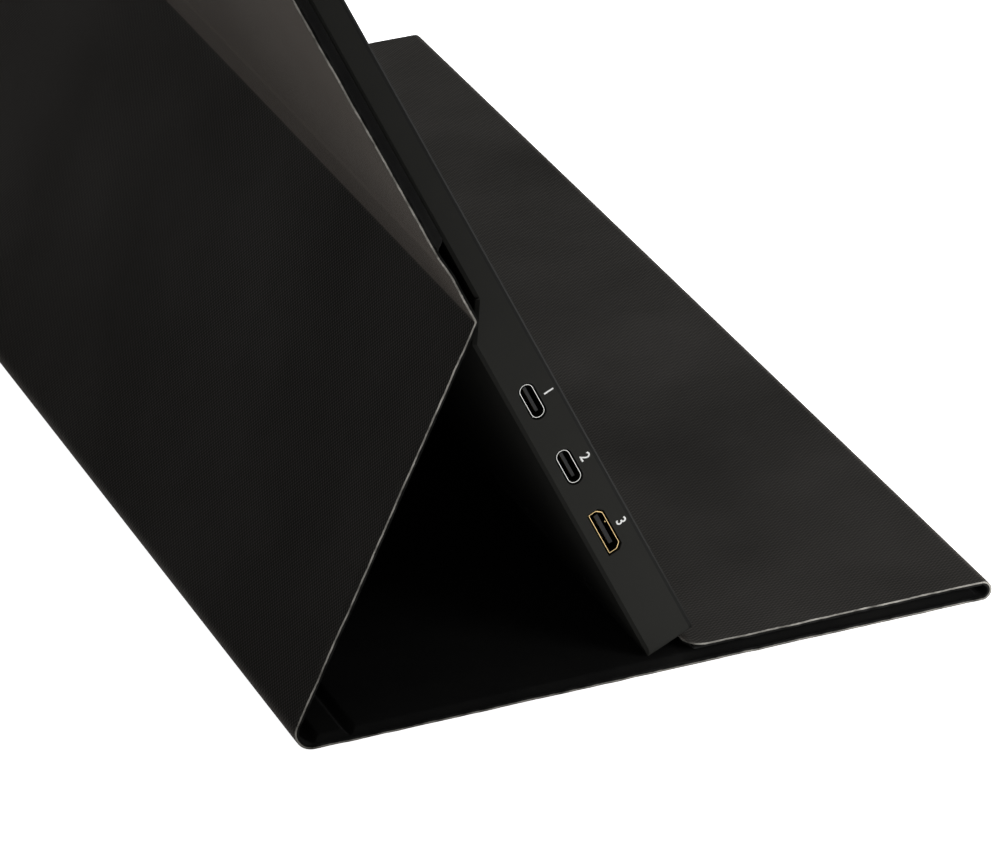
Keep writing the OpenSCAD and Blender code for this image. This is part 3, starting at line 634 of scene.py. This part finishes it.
    def sheet(self, name: str, layer: Layer, first: float, last: float) -> bpy.types.Object:
        """Cuts one sheet flat and folds it along the cover's line.

        Args:
            name: Name of the piece.
            layer: Skin or lining.
            first: Where it starts along the line.
            last: Where it ends.

        Returns:
            The piece, with its skin or lining finish and its cut edge.
        """
        cols = self.columns()
        rows = self.rows(first, last)
        bm = bmesh.new()
        bmesh.ops.create_grid(bm, x_segments=len(cols) - 1, y_segments=len(rows) - 1, size=0.5)
        for v in bm.verts:
            v.co.x = cols[round((v.co.x + 0.5) * (len(cols) - 1))]
            v.co.y = rows[round((v.co.y + 0.5) * (len(rows) - 1))]
        grown = bmesh.ops.extrude_face_region(bm, geom=bm.faces[:])["geom"]
        raised = [part for part in grown if isinstance(part, bmesh.types.BMVert)]
        bmesh.ops.translate(bm, verts=raised, vec=(0, 0, 1))
        depth = bm.verts.layers.float.new("depth")
        flat = bm.loops.layers.uv.new("flat")
        for v in bm.verts:
            v[depth] = v.co.z
        for f in bm.faces:
            f.smooth = True
            cut = len({round(v.co.z) for v in f.verts}) == 2
            f.material_index = int(cut)
            for loop in f.loops:
                loop[flat].uv = (loop.vert.co.x * MM, loop.vert.co.y * MM)
        for e in bm.edges:
            e.smooth = len({f.material_index for f in e.link_faces}) == 1
        seed = 3.1 if layer is Layer.SKIN else 9.7
        for v in bm.verts:
            v.co = self.fold(v.co.x, v.co.y, v.co.z * self.skin_t, layer, seed)
        bmesh.ops.recalc_face_normals(bm, faces=bm.faces[:])
        mesh = bpy.data.meshes.new(name)
        bm.to_mesh(mesh)
        bm.free()
        piece = bpy.data.objects.new(name, mesh)
        bpy.context.scene.collection.objects.link(piece)
        mesh.materials.append(material_of(SKIN if layer is Layer.SKIN else LINING))
        mesh.materials.append(material_of(SKIN_EDGE if layer is Layer.SKIN else LINING_EDGE))
        return piece

    def fold(self, x: float, s: float, h: float, layer: Layer, seed: float) -> Vector:
        """Takes a point of the flat sheet to its place on the folded cover.

        Args:
            x: Place across, in millimetres.
            s: Place along.
            h: Height in the sheet's thickness.
            layer: Skin or lining.
            seed: Picks the knife's wander along this sheet's edges.

        Returns:
            The point in the row frame, in metres.
        """
        half = self.outline(s)
        near = abs(x) / self.half_width
        edge = 1 - min(1.0, (self.half_width - abs(x)) / self.knife_reach)
        side = math.copysign(1.0, x)
        slow = 0.16 * noise.noise(Vector((s / 5.0, side * 7.0, seed)))
        quick = 0.09 * noise.noise(Vector((s / 1.7, side, seed)))
        wide = side * (near * half + (slow + quick) * edge)
        limp = 1 - min(1.0, (self.half_width - abs(x)) / self.margin)
        wave = 0.12 * limp * noise.noise(Vector((s / 7.0, side * 3.0, 0.5)))
        y, z, heading = self.path.at(s)
        up = h + wave if layer is Layer.SKIN else wave - h - self.lift(wide, s)
        return Vector((wide, y - math.sin(heading) * up, z + math.cos(heading) * up)) * MM

    def build(self) -> None:
        """Makes all panels and folds, and sets each panel on the body it moves with."""
        p = self.path
        panels = [
            ("upper", "monitor", 0.0, self.upper_end), ("leg", "leg", self.leg_start, self.leg_end),
            ("base", "base", self.base_start, self.base_end), ("flap", "flap", self.flap_start, self.total),
        ]
        folds = [
            ("apex_fold", "monitor", "leg", self.upper_end, self.leg_start),
            ("rear_fold", "leg", "base", self.leg_end, self.base_start),
            ("front_fold", "base", "flap", self.base_end, self.flap_start),
        ]
        for layer in Layer:
            word = layer.name.lower()
            for name, body, first, last in panels:
                piece = self.sheet(f"{name}_{word}_sheet", layer, first, last)
                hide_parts(f"{name}_{word}")
                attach(piece, body)
                report(piece)
            for name, before, after, first, last in folds:
                piece = self.sheet(f"{name}_{word}_sheet", layer, first, last)
                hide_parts(f"{name}_strip")
                a, b = (np.array(p.at(s)[:2]) for s in (first, last))
                if name == "apex_fold":
                    a = 2 * np.array(self.apex) - b
                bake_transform(piece)
                report(piece)


_MADE: dict[str, bpy.types.Material] = {}


def material_of(finish: Finish) -> bpy.types.Material:
    """Gives the material of a finish, made once."""
    if finish.name not in _MADE:
        _MADE[finish.name] = finish.make()
    return _MADE[finish.name]


def report(piece: bpy.types.Object) -> None:
    """Logs a piece and how many faces it has."""
    LOG.info("%s: %d faces", piece.name, len(piece.data.polygons))


# The monitor


@dataclass
class Monitor:
    """Rigid monitor: finishes for its nodes, and the small pieces that the sockets carry."""

    cover: Cover
    side_x: float = 176.0
    socket_y: float = -5.2
    socket_z: tuple[float, float, float] = (35.0, 54.0, 73.0)
    label_ahead: float = 4.0
    numeral_h: float = 2.3
    # Share of a font's size that its numerals are high
    numeral_share: float = 0.69
    ink_t: float = 0.012
    ink_spread: float = 0.045
    # Half widths and half lengths of the shells' outer faces, and the wide one's cut corners
    wide_half: Point = (1.6, 5.6)
    wide_cut: float = 1.1
    wide_radii: tuple[float, ...] = (0.35, 0.35, 0.8, 0.8, 0.8, 0.8)
    oval_half: Point = (1.63, 4.47)
    oval_radii: tuple[float, ...] = (1.6, 1.6, 1.6, 1.6)
    corner_steps: int = 8
    # A shell's mouth lies this far behind the side, and its lip is rounded over this much
    recess: float = 0.35
    lip_round: float = 0.05
    contact_l: float = 3.4
    contact_t: float = 0.06
    contact_back: float = 2.1
    dimple_r: float = 0.28
    dimple_at: Place = (1.5, -1.22, 1.35)

    def dress(self) -> None:
        """Gives every CAD node that still shows the finish of its slot."""
        slots = {s["node"]: s["material_slot"] for s in frame["record"]["subparts"]}
        for name, node in frame["nodes"].items():
            finish = FINISHES.get(slots[name])
            if node.hide_render or finish is None:
                continue
            node.data.materials.clear()
            node.data.materials.append(material_of(finish))

    def turn(self) -> Matrix:
        """Rotation from the leaning monitor's own frame to the row frame."""
        return Matrix.Rotation(math.radians(-self.cover.lean), 4, "X")

    def settle(self, bm: bmesh.types.BMesh, name: str, finish: Finish) -> bpy.types.Object:
        """Moves a mesh from the monitor's own frame to the row frame and makes it a piece.

        Args:
            bm: The mesh, in millimetres in the monitor's frame.
            name: Name of the piece.
            finish: Its finish.

        Returns:
            The piece, riding on the monitor.
        """
        foot = Vector((0, *self.cover.foot))
        stand = Matrix.Scale(MM, 4) @ Matrix.Translation(foot) @ self.turn()
        bmesh.ops.transform(bm, matrix=stand, verts=bm.verts[:])
        bmesh.ops.recalc_face_normals(bm, faces=bm.faces[:])
        mesh = bpy.data.meshes.new(name)
        bm.to_mesh(mesh)
        bm.free()
        piece = bpy.data.objects.new(name, mesh)
        bpy.context.scene.collection.objects.link(piece)
        mesh.materials.append(material_of(finish))
        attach(piece, "monitor")
        report(piece)
        return piece

    def numerals(self) -> None:
        """Prints a plain number beside each socket, as thin raised ink."""
        for number, z in zip(("3", "2", "1"), self.socket_z):
            curve = bpy.data.curves.new(f"numeral_{number}", "FONT")
            curve.body = number
            curve.size = self.numeral_h / self.numeral_share
            curve.align_x = "CENTER"
            curve.align_y = "CENTER"
            curve.extrude = self.ink_t
            curve.offset = self.ink_spread
            text = bpy.data.objects.new(f"numeral_{number}_form", curve)
            bpy.context.scene.collection.objects.link(text)
            graph = bpy.context.evaluated_depsgraph_get()
            bm = bmesh.new()
            bm.from_mesh(text.evaluated_get(graph).to_mesh())
            bpy.data.objects.remove(text)
            # The number reads down the side, its top towards the screen
            ahead = self.socket_y - self.label_ahead
            stand = Matrix(((0, 0, -1, -self.side_x), (0, -1, 0, ahead), (-1, 0, 0, z), (0, 0, 0, 1)))
            bmesh.ops.transform(bm, matrix=stand, verts=bm.verts[:])
            self.settle(bm, f"printed_numeral_{number}", INK)

    def mouth(self, z: float, inset: float) -> list[Point]:
        """Outline of a socket's shell, as Y and Z in the monitor's own frame.

        Args:
            z: Height of the socket's middle.
            inset: How far inside the shell's outer face.

        Returns:
            Points in order round the outline.
        """
        if z == self.socket_z[0]:
            w, h = (half - inset for half in self.wide_half)
            c = self.wide_cut
            radii = self.wide_radii
            corners = [(w, -h), (w, h), (c - w, h), (-w, h - c), (-w, c - h), (c - w, -h)]
        else:
            w, h = (half - inset for half in self.oval_half)
            radii = self.oval_radii
            corners = [(w, -h), (w, h), (-w, h), (-w, -h)]
        points = []
        for i in range(len(corners)):
            p, before, after = (np.array(corners[j % len(corners)]) for j in (i, i - 1, i + 1))
            a, b = ((q - p) / np.linalg.norm(q - p) for q in (before, after))
            open_angle = math.acos(float(a @ b))
            r = radii[i] - inset
            centre = p + (a + b) / np.linalg.norm(a + b) * r / math.sin(open_angle / 2)
            first = math.atan2(*(p + a * r / math.tan(open_angle / 2) - centre)[::-1])
            for k in range(self.corner_steps + 1):
                t = first + (math.pi - open_angle) * k / self.corner_steps
                points.append((centre[0] + r * math.cos(t) + self.socket_y, centre[1] + r * math.sin(t) + z))
        return points

    def shells(self) -> None:
        """Draws the sockets' shells with a thin lip and their inner walls and backs painted near black as
        shade, so that only a fine line of metal shows.
        """
        edge = self.recess
        behind = self.recess + self.lip_round
        # From the back of the outside, round the lip, to the back of the inside: inset and depth
        outside = [(0.02, 7.7), (0.02, behind), (0.06, edge)]
        inside = [(0.17, edge), (0.2, behind), (0.2, 7.4)]
        for z, name in zip(self.socket_z, ("wide_socket_shell", "oval_socket_shells", "oval_socket_shells")):
            bm = bmesh.new()
            rings = []
            for inset, depth in outside + inside:
                rings.append([bm.verts.new((depth - self.side_x, y, h)) for y, h in self.mouth(z, inset)])
            for number, (one, two) in enumerate(zip(rings, rings[1:])):
                # The faces inside the lip's crest, and the back, take the painted shade
                in_painted_shade = int(number >= len(outside))
                for i in range(len(one)):
                    j = (i + 1) % len(one)
                    bm.faces.new((one[i], one[j], two[j], two[i])).material_index = in_painted_shade
            bm.faces.new(rings[-1]).material_index = 1
            bm.faces.new(rings[0])
            metal = "socket_gold" if z == self.socket_z[0] else "socket_steel"
            piece = self.settle(bm, f"shell_{round(z)}", FINISHES[metal])
            piece.data.materials.append(material_of(SHELL_PAINTED_SHADE))
            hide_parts(name)

    def contacts(self) -> None:
        """Lays the rows of contacts on the socket tongues."""
        bm = bmesh.new()
        # Height, contacts on a side, their pitch, half the tongue's thickness, its place behind the side
        rows = [(z, 12, 0.5, 0.35, 1.5) for z in self.socket_z[1:]]
        rows.append((self.socket_z[0], 10, 0.8, 0.45, 1.3))
        for z, count, pitch, half_t, inset in rows:
            for i in range(count):
                for side in (-1, 1):
                    made = bmesh.ops.create_cube(bm, size=1)["verts"]
                    size = (self.contact_l, self.contact_t, pitch * 0.5)
                    bmesh.ops.scale(bm, vec=size, verts=made)
                    x = -self.side_x + inset + self.contact_back
                    at = (x, self.socket_y + side * half_t, z + (i - (count - 1) / 2) * pitch)
                    bmesh.ops.translate(bm, vec=at, verts=made)
        self.settle(bm, "socket_contacts", CONTACT_IN_PAINTED_SHADE)

    def spring_dimple(self) -> None:
        """Adds the sprung dimple in the wide socket's front wall."""
        bm = bmesh.new()
        made = bmesh.ops.create_uvsphere(bm, u_segments=20, v_segments=12, radius=self.dimple_r)["verts"]
        x, y, z = self.dimple_at
        at = (-self.side_x + x, self.socket_y + y, self.socket_z[0] + z)
        bmesh.ops.translate(bm, vec=at, verts=made)
        self.settle(bm, "wide_socket_dimple", FINISHES["socket_gold"])

    def build(self) -> None:
        """Makes the small pieces and dresses the nodes."""
        self.numerals()
        self.shells()
        self.contacts()
        self.spring_dimple()
        self.dress()


# Room and camera


@dataclass
class Studio:
    """Plain pale floor, soft lamps and the camera at the photographed angle."""

    azimuth: float = 20.4469
    elevation: float = 25.9203
    roll: float = -2.5406
    distance: float = 1451.8984
    target: Place = (-94.64, 1.352, 24.236)
    focal_px: float = 6338.8
    image_w: float = 1000.0
    sensor: float = 36.0
    fill: float = 0.21
    floor_half: float = 6.0

    def camera(self) -> None:
        """Sets the camera from its angles, aim and focal length."""
        a, e, r = (math.radians(v) for v in (self.azimuth, self.elevation, self.roll))
        ahead = Vector((math.cos(a) * math.cos(e), -math.sin(a) * math.cos(e), -math.sin(e)))
        level = ahead.cross(Vector((0, 0, 1))).normalized()
        upright = level.cross(ahead)
        right = level * math.cos(r) + upright * math.sin(r)
        top = -level * math.sin(r) + upright * math.cos(r)
        data = bpy.data.cameras.new("photo_camera")
        data.sensor_width = self.sensor
        data.lens = self.focal_px / self.image_w * self.sensor
        data.clip_start, data.clip_end = 0.05, 50
        camera = bpy.data.objects.new("photo_camera", data)
        at = (Vector(self.target) - ahead * self.distance) * MM
        rows = [(right[i], top[i], -ahead[i], at[i]) for i in range(3)] + [(0, 0, 0, 1)]
        camera.matrix_world = Matrix(rows)
        bpy.context.scene.collection.objects.link(camera)
        bpy.context.scene.camera = camera

    def lamp(self, name: str, at: Place, aim: Place, size: float, power: float) -> None:
        """Hangs one square soft lamp.

        Args:
            name: Name of the lamp.
            at: Its place in metres.
            aim: The point that it faces.
            size: Side of the square.
            power: Power in watts.
        """
        data = bpy.data.lights.new(name, "AREA")
        data.size = size
        data.energy = power
        lamp = bpy.data.objects.new(name, data)
        lamp.location = at
        lamp.rotation_euler = (Vector(aim) - Vector(at)).to_track_quat("-Z", "Y").to_euler()
        bpy.context.scene.collection.objects.link(lamp)

    def is_seen(self, tree: bpy.types.NodeTree) -> bpy.types.NodeSocket:
        """Tells the rays that see the room from those that only light the object.

        Args:
            tree: Node tree to add to.

        Returns:
            1 for rays of the camera, of reflections and through clear pieces, and otherwise 0.
        """
        rays = add(tree, "ShaderNodeLightPath").outputs
        seen = {0: rays["Is Camera Ray"], 1: rays["Is Glossy Ray"]}
        either = add(tree, "ShaderNodeMath", seen, operation="MAXIMUM").outputs[0]
        clear = {0: either, 1: rays["Is Transmission Ray"]}
        return add(tree, "ShaderNodeMath", clear, operation="MAXIMUM").outputs[0]

    def room(self) -> None:
        """Makes the world and the floor."""
        world = bpy.data.worlds.new("pale_room")
        bpy.context.scene.world = world
        world.use_nodes = True
        tree = world.node_tree
        fill = tree.nodes["Background"]
        fill.inputs["Color"].default_value = linear("#ffffff")
        fill.inputs["Strength"].default_value = self.fill
        white = add(tree, "ShaderNodeBackground", {"Color": linear("#ffffff"), "Strength": 1.0})
        shaders = {0: self.is_seen(tree), 1: fill.outputs[0], 2: white.outputs[0]}
        mixed = add(tree, "ShaderNodeMixShader", shaders).outputs[0]
        tree.links.new(mixed, tree.nodes["World Output"].inputs["Surface"])

        bm = bmesh.new()
        bmesh.ops.create_grid(bm, x_segments=1, y_segments=1, size=self.floor_half)
        mesh = bpy.data.meshes.new("pale_floor")
        bm.to_mesh(mesh)
        bm.free()
        floor = bpy.data.objects.new("pale_floor", mesh)
        bpy.context.scene.collection.objects.link(floor)
        material = bpy.data.materials.new("white_sweep_paper")
        material.use_nodes = True
        tree = material.node_tree
        shader = tree.nodes["Principled BSDF"]
        shader.inputs["Base Color"].default_value = linear("#f4f4f4")
        shader.inputs["Roughness"].default_value = 0.9
        shader.inputs["Specular IOR Level"].default_value = 0.0
        glow = add(tree, "ShaderNodeEmission", {"Color": linear("#ffffff"), "Strength": self.is_seen(tree)})
        both = add(tree, "ShaderNodeAddShader", {0: shader.outputs[0], 1: glow.outputs[0]})
        tree.links.new(both.outputs[0], tree.nodes["Material Output"].inputs["Surface"])
        mesh.materials.append(material)

    def build(self) -> None:
        """Sets the camera, the room and the lamps."""
        self.camera()
        self.room()
        self.lamp("front_top_softbox", (0.5, -1.4, 1.9), (0.0, 0.0, 0.05), 1.2, 58)
        self.lamp("left_low_softbox", (-0.3, -0.1, 0.02), (-0.176, 0.0, 0.01), 0.06, 0.15)
        bpy.context.scene.view_settings.view_transform = "Standard"


def main() -> None:
    """Builds the cover, the monitor's small pieces and the studio, in that order."""
    logging.basicConfig(level=logging.INFO, format="%(message)s")
    cover = Cover()
    cover.build()
    Monitor(cover).build()
    Studio().build()


if __name__ == "__main__":
    main()
